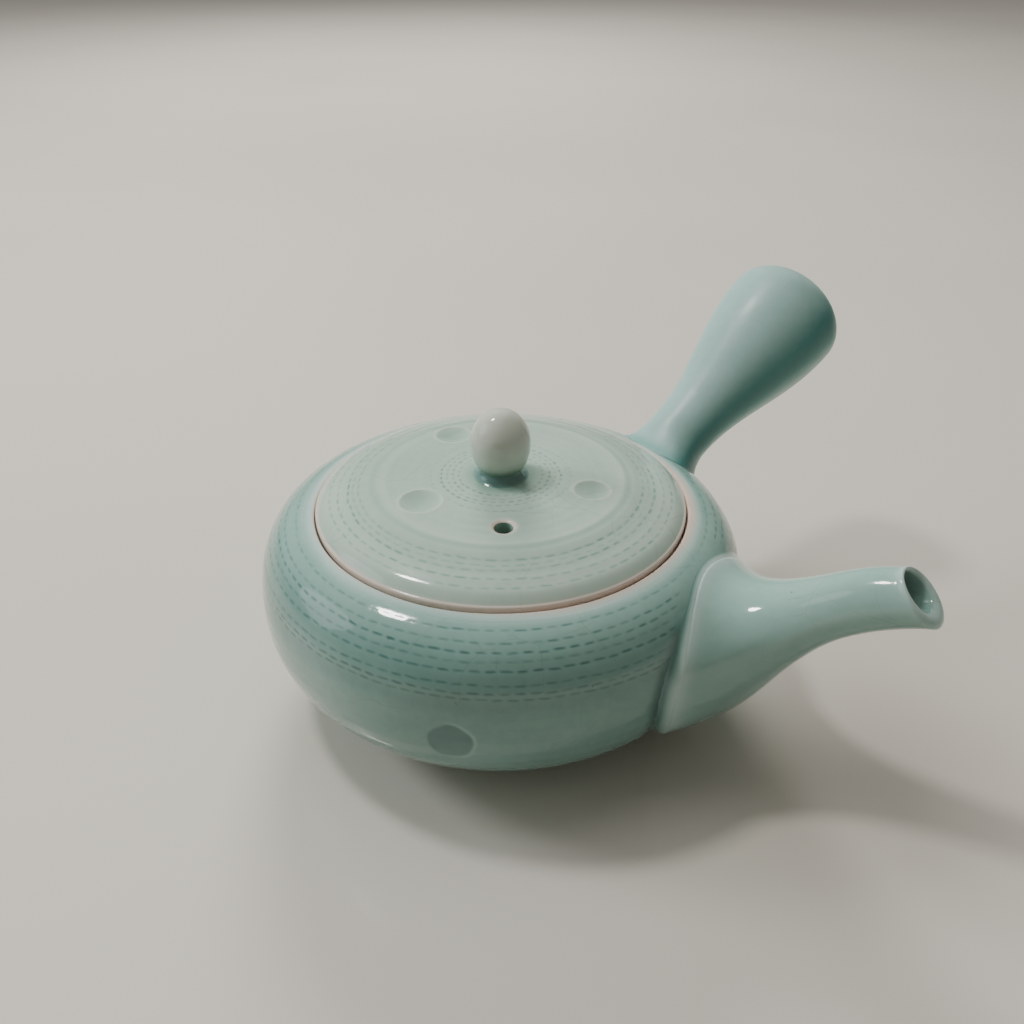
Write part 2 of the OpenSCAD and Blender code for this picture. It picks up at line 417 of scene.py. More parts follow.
def spout_surface(t, turn, inset):
    """Points on the spout, with t along it and turn round it, before it is fitted to the bowl."""
    step = spout_middle(t + 0.01) - spout_middle(t - 0.01)
    step = step / np.linalg.norm(step, axis=-1)[..., None]
    across = np.stack([-step[..., 1], step[..., 0]], axis=-1)
    cut = smooth_step((t - 0.62) / 0.38)[..., None]
    across = across * (1 - cut) + SPOUT_CUT_UP * SPOUT_CUT_STRETCH * cut
    up = spout_half(t, *SPOUT_UP) - inset
    down = spout_half(t, *SPOUT_DOWN) - inset
    side = spout_half(t, *SPOUT_SIDE) - inset
    lift = np.where(np.sin(turn) > 0, up, down) * np.sin(turn)
    at = spout_middle(t) + lift[..., None] * across
    return np.stack([at[..., 0], side * np.cos(turn), at[..., 1]], axis=-1)


def spout_base(columns):
    """The line where the spout meets the bowl: an oval seen along X, laid onto the bowl."""
    turns = turns_of(columns)
    z = SPOUT_BASE_H + SPOUT_BASE_UP * np.sin(turns)
    y = SPOUT_BASE_SIDE * np.cos(turns)
    x = np.sqrt(bowl_radius(z) ** 2 - y ** 2)
    return np.column_stack([x, y, z])


def smooth_round(values, waves):
    """Keeps only the slow waves of values that run once round a closed line."""
    wave = np.fft.rfft(values)
    wave[waves:] = 0
    return np.fft.irfft(wave, len(values))


def spout_starts(edge):
    """For each column, the t where the unfitted spout comes nearest to its edge on the bowl."""
    turns = turns_of(len(edge))
    tries = np.linspace(0, 0.4, 161)
    t, turn = np.meshgrid(tries, turns, indexing="ij")
    gaps = np.linalg.norm(spout_surface(t, turn, 0.0) - edge, axis=2)
    return smooth_round(tries[np.argmin(gaps, axis=0)], 9)


def spout_grid(columns):
    """The spout's outside from the bowl to its mouth, the rounded lip and the inside back down."""
    turns = turns_of(columns)
    base = spout_base(columns)
    edge = base + bowl_normal(base) * edge_height(turns)[:, None]
    starts = spout_starts(edge)
    shift = edge - spout_surface(starts, turns, 0.0)

    def at(u, inset):
        t = starts + (1 - starts) * u
        fade = 1 - smooth_step(u / SPOUT_FIT)
        return spout_surface(t, turns, inset) + shift * fade

    forward = np.array([SPOUT_CUT_UP[1], 0, -SPOUT_CUT_UP[0]])
    outside = [base - bowl_normal(base) * TUCK]
    outside += [at(u, 0.0) for u in np.linspace(0, 1, SPOUT_ROWS)]
    lip = []
    uneven = 1 - SPOUT_LEAN * np.sin(turns)
    for angle in np.radians(np.linspace(0, 180, LIP_ROWS + 1))[1:]:
        ring = at(1.0, SPOUT_LIP * (1 - math.cos(angle)) * uneven)
        lip.append(ring + forward * SPOUT_LIP * math.sin(angle))
    inside = []
    for u in np.linspace(1, 0.02, 30)[1:]:
        inside.append(at(u, 2 * SPOUT_LIP * uneven + 1.5 * smooth_step((1 - u) / 0.8)))
    last = inside[-1] - bowl_normal(base) * 2.5
    return np.array(outside + lip + inside + [last])


def spout_pool(grid):
    """Thin glaze on the lip and on the ridge of the root; darker inside and underneath, as painted
    shade.
    """
    row = np.arange(len(grid))[:, None]
    lip_row = SPOUT_ROWS + LIP_ROWS // 2
    pool = -0.45 * hump(row - lip_row, 5.5) - 0.35 * hump(row - 1, 3.0)
    # Darker inside the spout: painted shade.
    pool = pool + 0.45 * smooth_step((row - lip_row - 8) / 4)
    turns = turns_of(grid.shape[1])
    # Darker along the underside: painted shade.
    under = smooth_step((0.25 - np.sin(turns)) / 1.1)
    return pool + 0.18 * under * smooth_step(row / 12)


def out_of_curve(curve, normal):
    """Directions in the bowl's surface that point out of a closed curve."""
    along = np.roll(curve, -1, axis=0) - np.roll(curve, 1, axis=0)
    out = np.cross(along, normal)
    out = out / np.linalg.norm(out, axis=1)[:, None]
    away = np.sum(out * (curve - curve.mean(0)), axis=1).mean()
    return out if away > 0 else -out


def edge_height(turns):
    """How far the edge of the spout's root stands off the bowl: less on top than elsewhere."""
    return SPOUT_EDGE * (1 - 0.8 * smooth_step((np.sin(turns) - 0.35) / 0.6))


def seam_grid(columns):
    """The raised edge round the spout's root: a small section swept round the base line."""
    base = spout_base(columns)
    normal = bowl_normal(base)
    out = out_of_curve(base, normal)
    turns = turns_of(columns)
    uneven = 1 + 0.08 * np.sin(3 * turns + 1) + 0.05 * np.sin(7 * turns)
    edge = edge_height(turns)
    rows = [base - out * SEAM_INNER - normal * TUCK]
    for across in np.linspace(-SEAM_INNER, SEAM_OUTER, 28):
        fall = 1 - smooth_step((across + 0.7) / 3.1)
        ridge = 0.2 * hump(across + 0.1, 0.8)
        sink = 0.12 + 0.45 * smooth_step((across - 1.2) / 2.4)
        rise = edge * (fall + ridge) * uneven - sink
        rows.append(base + out * across + normal * rise[:, None])
    rows.append(base + out * 3.4 - normal * 1.4)
    return np.array(rows)


# Handle

HANDLE_AXIS = np.array([
    math.cos(HANDLE_TILT) * math.cos(HANDLE_TURN),
    math.cos(HANDLE_TILT) * math.sin(HANDLE_TURN),
    math.sin(HANDLE_TILT),
])
HANDLE_SIDE = np.array([-math.sin(HANDLE_TURN), math.cos(HANDLE_TURN), 0])
HANDLE_DOWN = np.cross(HANDLE_SIDE, HANDLE_AXIS)


def handle_directions(columns):
    """Directions straight out of the handle's axis, one for each column."""
    turns = turns_of(columns)
    return np.outer(np.cos(turns), HANDLE_SIDE) + np.outer(np.sin(turns), HANDLE_DOWN)


def handle_radius(s):
    """Radius of the handle at distance s along its axis."""
    turn = math.pi * (s - HANDLE_NECK_AT) / (HANDLE_SWELL_AT - HANDLE_NECK_AT)
    return HANDLE_NECK_R + (HANDLE_END_R - HANDLE_NECK_R) * (1 - np.cos(turn)) / 2


def handle_grid(columns):
    """The horn of the handle with its domed end, the hole in the end and the hollow inside.
    Also gives the row in the middle of the hole's rounded rim."""
    places = np.linspace(HANDLE_NECK_AT, HANDLE_SWELL_AT, 56)
    places = np.insert(places, 1, HANDLE_NECK_AT + JOIN)
    horn = [(handle_radius(s), s) for s in places]
    lip_r = HANDLE_HOLE_R + HANDLE_LIP
    hole_turn = math.degrees(math.acos(lip_r / HANDLE_END_R))
    dome = []
    for a in np.radians(np.linspace(0, hole_turn, 30))[1:]:
        along = HANDLE_SWELL_AT + HANDLE_DOME * math.sin(a)
        dome.append((HANDLE_END_R * math.cos(a), along))
    end = dome[-1][1]
    lip = arc((lip_r, end - HANDLE_LIP), HANDLE_LIP, 90, 180, 8)[1:]
    inner = [(HANDLE_HOLE_R, end - 2.6), (HANDLE_END_R - 5, HANDLE_SWELL_AT + 3)]
    bore_places = np.linspace(HANDLE_SWELL_AT, HANDLE_NECK_AT, 20)
    bore = [(handle_radius(s) - HANDLE_WALL, s) for s in bore_places]
    line = horn + dome + lip + inner + bore
    out = handle_directions(columns)
    turns = turns_of(columns)
    rows = []
    for r, s in line:
        uneven = 1 + 0.006 * math.sin(s / 7) * np.sin(2 * turns + 0.5)
        rows.append(HANDLE_ROOT + HANDLE_AXIS * s + out * (r * uneven)[:, None])
    return np.array(rows), len(horn) + len(dome) + len(lip) // 2


def handle_base(columns):
    """Where the flare of the handle ends on the bowl's shoulder, kept off the mouth's edge."""
    foot_r = HANDLE_FOOT_R - 1.6 * np.cos(turns_of(columns))
    start = HANDLE_ROOT + handle_directions(columns) * foot_r[:, None]
    steps = np.linspace(HANDLE_NECK_AT + 8, -30, 400)
    base = []
    for point in start:
        ray = point + np.outer(steps, HANDLE_AXIS)
        inside = np.hypot(ray[:, 0], ray[:, 1]) < bowl_radius(ray[:, 2])
        inside &= ray[:, 2] < SEAM_H - 0.3
        base.append(ray[np.argmax(inside)])
    base = np.array(base)
    least_r = RING_R + 1.2
    r = np.hypot(base[:, 0], base[:, 1])
    wanted = np.maximum(r, least_r)
    base[:, :2] *= (wanted / r)[:, None]
    base[:, 2] = np.where(wanted < BOWL_R - 0.3, shoulder_height(wanted), base[:, 2])
    for k in range(3):
        base[:, k] = smooth_round(base[:, k], 4)
    return base


def handle_seam_grid(columns):
    """The flare between the handle's neck and the bowl, as a smooth fillet."""
    out = handle_directions(columns)
    neck = HANDLE_ROOT + HANDLE_AXIS * HANDLE_NECK_AT + out * HANDLE_NECK_R
    base = handle_base(columns)
    normal = bowl_normal(base)
    spread = out_of_curve(base, normal)
    reach = np.linalg.norm(neck - base, axis=1)[:, None]
    leave = -HANDLE_AXIS * reach * 1.1
    arrive = (spread - 0.35 * normal) * reach * 0.7
    rows = []
    for v in np.insert(np.linspace(0, 1, 30), 1, JOIN / 12):
        from_neck = neck * (2 * v ** 3 - 3 * v ** 2 + 1) + leave * (v ** 3 - 2 * v ** 2 + v)
        to_base = base * (3 * v ** 2 - 2 * v ** 3) + arrive * (v ** 3 - v ** 2)
        rows.append(from_neck + to_base)
    rows.append(base - normal * 1.5)
    bore = HANDLE_NECK_R - HANDLE_WALL
    rows.append(HANDLE_ROOT - HANDLE_AXIS * 2 + out * bore)
    rows.append(HANDLE_ROOT + HANDLE_AXIS * HANDLE_NECK_AT + out * bore)
    return np.array(rows)


# Materials

def linear(red, green, blue):
    """A colour given in 0 to 255, as the linear values that shaders take."""
    values = []
    for part in (red, green, blue):
        part = part / 255
        values.append(part / 12.92 if part <= 0.04045 else ((part + 0.055) / 1.055) ** 2.4)
    return (*values, 1.0)


CREAM = linear(230, 211, 198)
PALE = linear(182, 209, 203)
GREEN = linear(143, 181, 171)
DEEP = linear(98, 139, 132)
DARK = linear(50, 90, 88)
CRAZE = linear(112, 124, 108)
IRON = linear(84, 70, 52)

# Colours of each glaze from where it is thinnest, at 0, to where it is thickest, at 1
GLAZE_STOPS = [(0.0, CREAM), (0.3, PALE), (0.5, GREEN), (0.72, DEEP), (1.0, DARK)]
# The handle's deep end is a saturated teal, the colour of the painted shade in its band as well as
# of thick glaze.
HANDLE_STOPS = [(0.0, CREAM), (0.3, linear(184, 212, 208)), (0.5, linear(138, 182, 176)),
                (0.72, linear(78, 144, 139)), (1.0, linear(34, 96, 94))]
LID_STOPS = [(0.0, CREAM), (0.3, linear(188, 209, 196)), (0.5, linear(152, 185, 170)),
             (0.72, linear(104, 138, 127)), (1.0, linear(62, 92, 84))]
KNOB_STOPS = [(0.0, linear(204, 200, 186)), (0.3, linear(202, 209, 196)),
              (0.5, linear(199, 207, 195)), (0.75, linear(120, 146, 128)),
              (1.0, linear(74, 100, 84))]


class Shader:
    """A material's node tree, with short ways to add nodes to it."""

    # Numbers of the mix node's sockets that carry colours
    MIX_A = 6
    MIX_B = 7
    MIX_RESULT = 2

    def __init__(self, name):
        self.material = bpy.data.materials.new(name)
        self.material.use_nodes = True
        self.tree = self.material.node_tree
        self.surface = self.tree.nodes["Principled BSDF"]
        self.place = self.add("ShaderNodeTexCoord").outputs["Object"]

    def add(self, kind, **settings):
        """Adds a node and sets its settings."""
        node = self.tree.nodes.new(kind)
        for name, value in settings.items():
            setattr(node, name, value)
        return node

    def put(self, socket, value):
        """Links a socket to an input, or gives the input a value."""
        if isinstance(value, bpy.types.NodeSocket):
            self.tree.links.new(value, socket)
        else:
            socket.default_value = value

    def math(self, operation, a, b=0.0, clamp=False):
        """One step of arithmetic."""
        node = self.add("ShaderNodeMath", operation=operation, use_clamp=clamp)
        self.put(node.inputs[0], a)
        self.put(node.inputs[1], b)
        return node.outputs[0]

    def between(self, value, low, high, to_low=0.0, to_high=1.0):
        """Runs smoothly from to_low to to_high as the value goes from low to high."""
        node = self.add("ShaderNodeMapRange", interpolation_type="SMOOTHSTEP")
        for name, part in (("Value", value), ("From Min", low), ("From Max", high),
                           ("To Min", to_low), ("To Max", to_high)):
            self.put(node.inputs[name], part)
        return node.outputs["Result"]

    def noise(self, scale, detail=2.0, roughness=0.5, place=None):
        """Soft noise from 0 to 1."""
        node = self.add("ShaderNodeTexNoise")
        self.put(node.inputs["Vector"], place or self.place)
        self.put(node.inputs["Scale"], scale)
        self.put(node.inputs["Detail"], detail)
        self.put(node.inputs["Roughness"], roughness)
        return node.outputs["Fac"]

    def cells(self, scale, feature="F1", place=None):
        """Distance to the nearest cell's middle, or to its edge."""
        node = self.add("ShaderNodeTexVoronoi", feature=feature)
        self.put(node.inputs["Vector"], place or self.place)
        self.put(node.inputs["Scale"], scale)
        return node.outputs["Distance"]

    def ramp(self, value, stops):
        """Colour from a list of (place, colour)."""
        node = self.add("ShaderNodeValToRGB")
        self.put(node.inputs["Fac"], value)
        elements = node.color_ramp.elements
        while len(elements) < len(stops):
            elements.new(0.5)
        for element, (place, colour) in zip(elements, stops):
            element.position = place
            element.color = colour
        return node.outputs["Color"]

    def mix(self, factor, a, b):
        """Colour a at factor 0, colour b at factor 1."""
        node = self.add("ShaderNodeMix", data_type="RGBA")
        self.put(node.inputs["Factor"], factor)
        self.put(node.inputs[self.MIX_A], a)
        self.put(node.inputs[self.MIX_B], b)
        return node.outputs[self.MIX_RESULT]

    def bump(self, height, distance, strength=1.0):
        """Normals that make a height look like relief."""
        node = self.add("ShaderNodeBump")
        self.put(node.inputs["Height"], height)
        self.put(node.inputs["Distance"], distance)
        self.put(node.inputs["Strength"], strength)
        return node.outputs["Normal"]

    def finish(self, colour, roughness, normal=None, coat=0.0):
        """Puts everything on the surface and gives the material."""
        self.put(self.surface.inputs["Base Color"], colour)
        self.put(self.surface.inputs["Roughness"], roughness)
        if normal is not None:
            self.put(self.surface.inputs["Normal"], normal)
        self.put(self.surface.inputs["Coat Weight"], coat)
        self.put(self.surface.inputs["Coat Roughness"], 0.05)
        return self.material


def glaze_depth(s):
    """How thick the glaze lies, from 0 to 1: the pool attribute with slow and fine clouding."""
    pool = s.add("ShaderNodeAttribute", attribute_name="pool").outputs["Fac"]
    cloud = s.math("MULTIPLY", s.math("SUBTRACT", s.noise(28, 4), 0.5), 0.4)
    fine = s.math("MULTIPLY", s.math("SUBTRACT", s.noise(420, 3, 0.6), 0.5), 0.14)
    depth = s.math("ADD", pool, s.math("ADD", cloud, fine))
    return s.math("MULTIPLY", s.math("ADD", depth, 1.0), 0.5, clamp=True)


def glaze_crazing(s, strength):
    """Hair-fine crazing: the bent edges of cells, in patches."""
    warp = s.add("ShaderNodeTexNoise")
    s.put(warp.inputs["Vector"], s.place)
    s.put(warp.inputs["Scale"], 60.0)
    bend = s.add("ShaderNodeVectorMath", operation="MULTIPLY_ADD")
    s.put(bend.inputs[0], warp.outputs["Color"])
    s.put(bend.inputs[1], (0.006, 0.006, 0.006))
    s.put(bend.inputs[2], s.place)
    edges = s.cells(75, "DISTANCE_TO_EDGE", bend.outputs[0])
    line = s.between(edges, 0.003, 0.012, 1.0, 0.0)
    patchy = s.between(s.noise(45, 1), 0.42, 0.62)
    return s.math("MULTIPLY", line, s.math("MULTIPLY", patchy, 0.2 * strength))


def glaze_specks(s):
    """A few specks of iron."""
    speck = s.between(s.cells(95), 0.018, 0.032, 1.0, 0.0)
    rare = s.between(s.noise(70, 0), 0.6, 0.64)
    return s.math("MULTIPLY", s.math("MULTIPLY", speck, rare), 0.75)


def glaze_relief(s, crazing):
    """Height of the glaze: slow unevenness, a few pinholes and the crazing."""
    pinhole = s.between(s.cells(210), 0.03, 0.07, 1.0, 0.0)
    few = s.between(s.noise(90, 0), 0.6, 0.66)
    pits = s.math("MULTIPLY", s.math("MULTIPLY", pinhole, few), 0.6)
    height = s.math("SUBTRACT", s.math("MULTIPLY", s.noise(130, 2), 0.5), pits)
    return s.math("SUBTRACT", height, s.math("MULTIPLY", crazing, 0.12))


def celadon(name, stops, gloss=0.09, craze=1.0, coat=0.35):
    """Celadon glaze, whose colour follows how thick it lies."""
    s = Shader(name)
    colour = s.ramp(glaze_depth(s), stops)
    crazing = glaze_crazing(s, craze)
    colour = s.mix(crazing, colour, CRAZE)
    colour = s.mix(glaze_specks(s), colour, IRON)
    rough = s.between(s.noise(60, 3), 0.3, 0.7, gloss - 0.03, gloss + 0.05)
    return s.finish(colour, rough, s.bump(glaze_relief(s, crazing), 0.00022), coat)


def fired_clay(name):
    """Bare fired clay: sandy, matte, with grog grains."""
    s = Shader(name)
    tone = s.noise(160, 5, 0.65)
    colour = s.ramp(tone, [(0.25, linear(168, 146, 118)), (0.55, linear(192, 172, 144)),
                           (0.8, linear(208, 192, 168))])
    grain = s.between(s.cells(900), 0.1, 0.32, 1.0, 0.0)
    colour = s.mix(s.math("MULTIPLY", grain, 0.35), colour, linear(134, 108, 82))
    height = s.math("ADD", s.noise(900, 4, 0.7), s.math("MULTIPLY", grain, -0.5))
    return s.finish(colour, s.between(tone, 0.2, 0.8, 0.75, 0.95), s.bump(height, 0.00018))


def polished_floor(name):
    """A plain pale floor with a soft polish."""
    s = Shader(name)
    colour = s.mix(s.between(s.noise(3, 2), 0.3, 0.7), linear(214, 209, 199),
                   linear(220, 216, 206))
    return s.finish(colour, s.between(s.noise(8, 2), 0.3, 0.7, 0.1, 0.14))


glaze = celadon("celadon_glaze", GLAZE_STOPS)
lid_glaze = celadon("lid_glaze", LID_STOPS)
held_glaze = celadon("held_glaze", HANDLE_STOPS, gloss=0.36, craze=0.6, coat=0.0)
knob_glaze = celadon("knob_glaze", KNOB_STOPS, gloss=0.09, craze=0.4)
thin_glaze = celadon("thin_glaze", GLAZE_STOPS, gloss=0.12, craze=0.5)
clay = fired_clay("bare_clay")


# Pieces of the pot

def rim_thinning(r, turns):
    """How much thinner the glaze is near the edge of the bowl's mouth, most of all behind."""
    behind = 0.5 + 0.5 * np.cos(turns - math.radians(60))
    band = (0.38 + 0.45 * behind) * (1 - smooth_step((r - SEAT_R - 1.0) / 3.2))
    return band + 0.35 * hump(r - SEAT_R, 1.1)


def bowl_lines():
    """The bowl's outside from its mouth to the middle of its base, and its inside back up."""
    def spacing(r, z):
        if z > DASHES_FROM_H:
            return 0.27 * COARSE_BY
        by_dots = abs(z - BELLY_DOT_H) < BELLY_DOT_R + 2
        return (0.55 if by_dots else 1.3) * COARSE_BY

    outside = with_narrow_start(resample(outline(0.0, RING_R), spacing))
    inside = resample(outline(-WALL, RING_R), lambda r, z: 4.0)[::-1]
    return outside, inside


def belly_dot(middle, turns, z):
    """How deep each point lies in a pressed dot, and how far it is on the dot's raised rim. The
    rim is pale on one side only, a painted highlight.
    """
    around = turn_from(turns, middle)
    gap = np.hypot(around * BOWL_R, (z - BELLY_DOT_H) * 1.02)
    ragged = BELLY_DOT_R + 0.12 * np.sin(5 * np.arctan2(z - BELLY_DOT_H, around * BOWL_R))
    disc = smooth_step((ragged + 0.35 - gap) / 0.7)
    # The rim's pale thin glaze is kept to one side: a painted highlight.
    rim = hump(gap - ragged - 0.35, 0.4) * smooth_step(0.5 + around * 12)
    return disc, rim


def build_bowl():
    """The hollow bowl with its dashes, groove and dots, and with glaze pooled at the joints."""
    outside, inside = bowl_lines()
    line = np.concatenate([outside, inside])
    turns = turns_of(FINE_COLUMNS)
    r = line[:, :1]
    z = line[:, 1:]
    outer = np.zeros((len(line), 1))
    outer[:len(outside)] = 1
    shoulder = outer * (z > BELLY_H)

    plain = revolve(line, FINE_COLUMNS).reshape(-1, 3)
    shape = (len(line), FINE_COLUMNS)
    by_spout = distance_to(plain, spout_base(400), 12).reshape(shape)
    by_handle = distance_to(plain, handle_base(240), 6).reshape(shape)
    clear = smooth_step((by_spout - 2.5) / 4)

    pool = 0.04 + 0.19 * smooth_step((r - 51) / 7) * outer
    pool = pool - rim_thinning(r, turns) * shoulder
    dashes = np.zeros(shape)
    dashes[:len(outside)] = dash_rings(outside, FINE_COLUMNS, BOWL_DASHES)
    dashes = dashes * shoulder * clear
    pool = pool + 0.68 * dashes
    lift = -0.05 * dashes

    groove = hump(z - GROOVE_H, 2.2) * outer * clear
    pool = pool + 0.1 * groove
    lift = lift - 0.1 * groove
    thrown = np.sin(z * 1.9) + 0.6 * np.sin(z * 0.83 + 0.5 * np.sin(turns))
    lift = lift + 0.02 * thrown * outer * smooth_step((SEAM_H - 2 - z) / 4)
    wide = hump(z - BELLY_H, 14) * outer
    lift = lift + 0.12 * np.sin(2 * turns + 0.8) * wide

    for turn in BELLY_DOTS:
        disc, rim = belly_dot(math.radians(turn), turns, z)
        # Each dot gets a darker disc and a pale rim on one side, the rim a painted highlight.
        pool = pool + 0.34 * disc * outer - 0.22 * rim * outer
        lift = lift - 0.16 * disc * outer

    pooled = hump(by_spout - 2.4, 2.2) * outer * smooth_step((SEAM_H - 3 - z) / 11)
    line_mark = hump(by_handle - 0.2, 0.9) * outer
    pool = pool + 0.62 * pooled + 0.3 * line_mark
    lift = lift - 0.3 * pooled - 0.12 * line_mark
    grid = revolve(line, FINE_COLUMNS, lift)
    bowl = make_piece("bowl", grid, pool, glaze, "pot")
    pierce(bowl, strainer_holes())


def strainer_holes():
    """One hole in the middle and two rings of holes round it, through the wall at the spout."""
    holes = []
    for ring in range(3):
        count = max(1, 6 * ring)
        for a in turns_of(count):
            y = STRAINER_PITCH * ring * math.sin(a)
            z = BELLY_H + STRAINER_PITCH * ring * math.cos(a)
            holes.append(((BOWL_R - 14, y, z), (BOWL_R + 1.5, y, z), STRAINER_HOLE_R))
    return holes


def build_foot_ring():
    """The bare ring that the pot stands on, a little worn underneath."""
    line = [(BASE_R - 2.2, FOOT_H + 1.5), (BASE_R - 2.2, 0.7)]
    line += arc((BASE_R - 1.5, 0.7), 0.7, 180, 270)
    line += arc((BASE_R + 1.5, 0.7), 0.7, 270, 350)
    line += [(BASE_R + 2.5, 1.6), (BASE_R + 3.2, 2.8), (BASE_R + 4.2, FOOT_H + 0.6)]
    line += [(BASE_R + 3.5, FOOT_H + 1.5)]
    line = resample(line + [line[0]], lambda r, z: 0.35)[:-1]
    turns = turns_of(SMALL_COLUMNS * 2)
    worn = 0.05 * np.sin(5 * turns + 1) + 0.04 * np.sin(11 * turns)
    lift = np.where(line[:, 1:] > 0.2, 1.0, 0.0) * worn
    grid = revolve(line, SMALL_COLUMNS * 2, lift)
    grid[..., 2] = np.maximum(grid[..., 2], 0)
    make_piece("foot_ring", grid, 0.0, clay, "pot")


def build_mouth_ring():
    """The rim round the lid: thin pinkish glaze on top and the ledge that the lid rests on."""
    line = [(r, shoulder_height(r)) for r in np.linspace(RING_R, SEAT_R + 0.6, 12)]
    line += arc((SEAT_R + 0.6, shoulder_height(SEAT_R + 0.6) - 0.6), 0.6, 90, 180)
    line += [(SEAT_R, LEDGE_H + 0.4)]
    line += arc((SEAT_R - 0.4, LEDGE_H + 0.4), 0.4, 0, -90, 5)
    line += arc((LEDGE_R + 0.5, LEDGE_H - 0.5), 0.5, 90, 180)
    line += [(LEDGE_R, LEDGE_H - 3.4), (RING_R, LEDGE_H - 3.4), (RING_R, LEDGE_H + 1)]
    line = with_narrow_start(resample(line + [line[0]], lambda r, z: 0.25)[:-1])
    turns = turns_of(LID_COLUMNS)
    r = line[:, :1]
    z = line[:, 1:]
    on_top = (z > SEAM_H - 2) & (r < RING_R - 0.3)
    pool = 0.08 - rim_thinning(r, turns) + 0.05 * np.sin(5 * turns + 2)
    pool = np.where(z < SEAM_H - 1.6, -0.9, pool)
    lift = np.where(on_top, 0.03, 0.0) * np.sin(9 * turns + 1)
    grid = revolve(line, LID_COLUMNS, lift)
    make_piece("mouth_ring", grid, pool, thin_glaze, "pot")


def build_spout():
    """The spout, from the edge of its root to its slanting mouth and back inside."""
    grid = spout_grid(SMALL_COLUMNS * 2)
    make_piece("spout", grid, spout_pool(grid), glaze, "pot")


def build_spout_seam():
    """The edge round the spout's root, thin on its ridge and thick where it meets the bowl."""
    columns = SMALL_COLUMNS * 2
    seam = seam_grid(columns)
    row = np.arange(len(seam))[:, None]
    pool = -0.35 + 0.9 * smooth_step((row - 10) / 9) + 0.05 * np.sin(turns_of(columns) * 4)
    make_piece("spout_seam", seam, pool, glaze, "pot")


def handle_pool_and_shade():
    """Thickness of the glaze round the handle, with a darker band down one side: painted shade
    where that side turns from the light, partly thick glaze.
    """
    from_band = turn_from(turns_of(SMALL_COLUMNS), HANDLE_SHADE_TURN)
    return -0.2 + 0.85 * hump(from_band, 0.42)


def build_handle():
    """The hollow handle, with thin glaze at the rim of the hole in its end."""
    grid, hole_row = handle_grid(SMALL_COLUMNS)
    row = np.arange(len(grid))[:, None]
    # Thin glaze at the hole's rim, and the band of painted shade down one side.
    pool = handle_pool_and_shade() - 0.35 * hump(row - hole_row, 5.0)
    make_piece("handle", grid, pool, held_glaze, "pot")


def build_handle_seam():
    """The flare that joins the handle to the bowl."""
    seam = handle_seam_grid(SMALL_COLUMNS)
    row = np.arange(len(seam))[:, None]
    # The band of painted shade runs on along the flare, with glaze pooled towards the bowl.
    pool = handle_pool_and_shade() + 0.2 * smooth_step((row - 18) / 10)
    make_piece("handle_seam", seam, pool, held_glaze, "pot")


# Pieces of the lid

def crown_at(r):
    """Height of the lid's upper surface at radius r."""
    crown = BREAK_H + (CROWN_H - BREAK_H) * (1 - (r / BREAK_R) ** 2)
    out = (r - BREAK_R) / (LID_R - 0.5 - BREAK_R)
    fall = 0.75 * out + 0.25 * np.clip(out, 0, 1) ** 10
    slope = BREAK_H - (BREAK_H - EDGE_H - 0.3) * fall
    return SEAM_H + np.where(r < BREAK_R, crown, slope)


def lid_line():
    """The lid's upper side from its middle out, and the whole way round back to the middle."""
    def spacing(r, z):
        by_marks = 8.5 < r < 30 or r > 33.5
        return (0.3 if by_marks else 0.7) * COARSE_BY

    top = [(r, float(crown_at(np.array(r)))) for r in np.linspace(0, LID_R - 0.5, 160)]
    edge = arc((LID_R - 0.55, SEAM_H + EDGE_H - 0.25), 0.55, 80, 0)
    top = resample(top, spacing)
    edge = np.array(edge + [(LID_R, LID_UNDER + 0.6), (LID_R - 0.6, LID_UNDER)])
    under = [(LID_R - 0.6, LID_UNDER), (LEDGE_R - 4.5, LID_UNDER)]
    under += [(BREAK_R - 3, SEAM_H + BREAK_H - LID_WALL), (0, SEAM_H + CROWN_H - LID_WALL)]
    under = resample(under, lambda r, z: 2.5)[1:]
    return top, np.concatenate([top, edge, under])


def lid_dashes(top):
    """Long dashes towards the lid's edge and short ones round the knob."""
    outer = dash_rings(top, LID_COLUMNS, LID_DASHES)
    inner = dash_rings(top, LID_COLUMNS, KNOB_DASHES, dash_l=1.4, dash_w=0.55, pitch=2.1)
    return np.maximum(outer, inner)


def press_dimples(grid, pool, upper):
    """Presses the dimples into the lid's grid, and gives the glaze's thickness with them."""
    for turn, at, half in DIMPLES:
        a = math.radians(turn)
        gap = np.hypot(grid[..., 0] - at * math.cos(a), grid[..., 1] - at * math.sin(a)) / half
        hollow = np.clip(1 - gap ** 2, 0, 1) ** 1.2 * upper
        rim = hump((gap - 1.02) * half, 0.5) * upper
        grid[..., 2] -= DIMPLE_DEPTH * hollow - 0.1 * rim
        pool = pool + 0.16 * hollow - 0.22 * rim
    return pool


def sink_vent(grid, pool, upper):
    """Sinks the lid's grid round the steam hole, and gives the glaze's thickness with it."""
    gap = np.hypot(grid[..., 0] - VENT[0], grid[..., 1] - VENT[1]) - VENT_R
    near = np.exp(-np.maximum(gap, 0) / 0.45) * upper
    grid[..., 2] -= 0.55 * near
    return pool - 0.7 * hump(gap - 0.3, 0.7) * upper


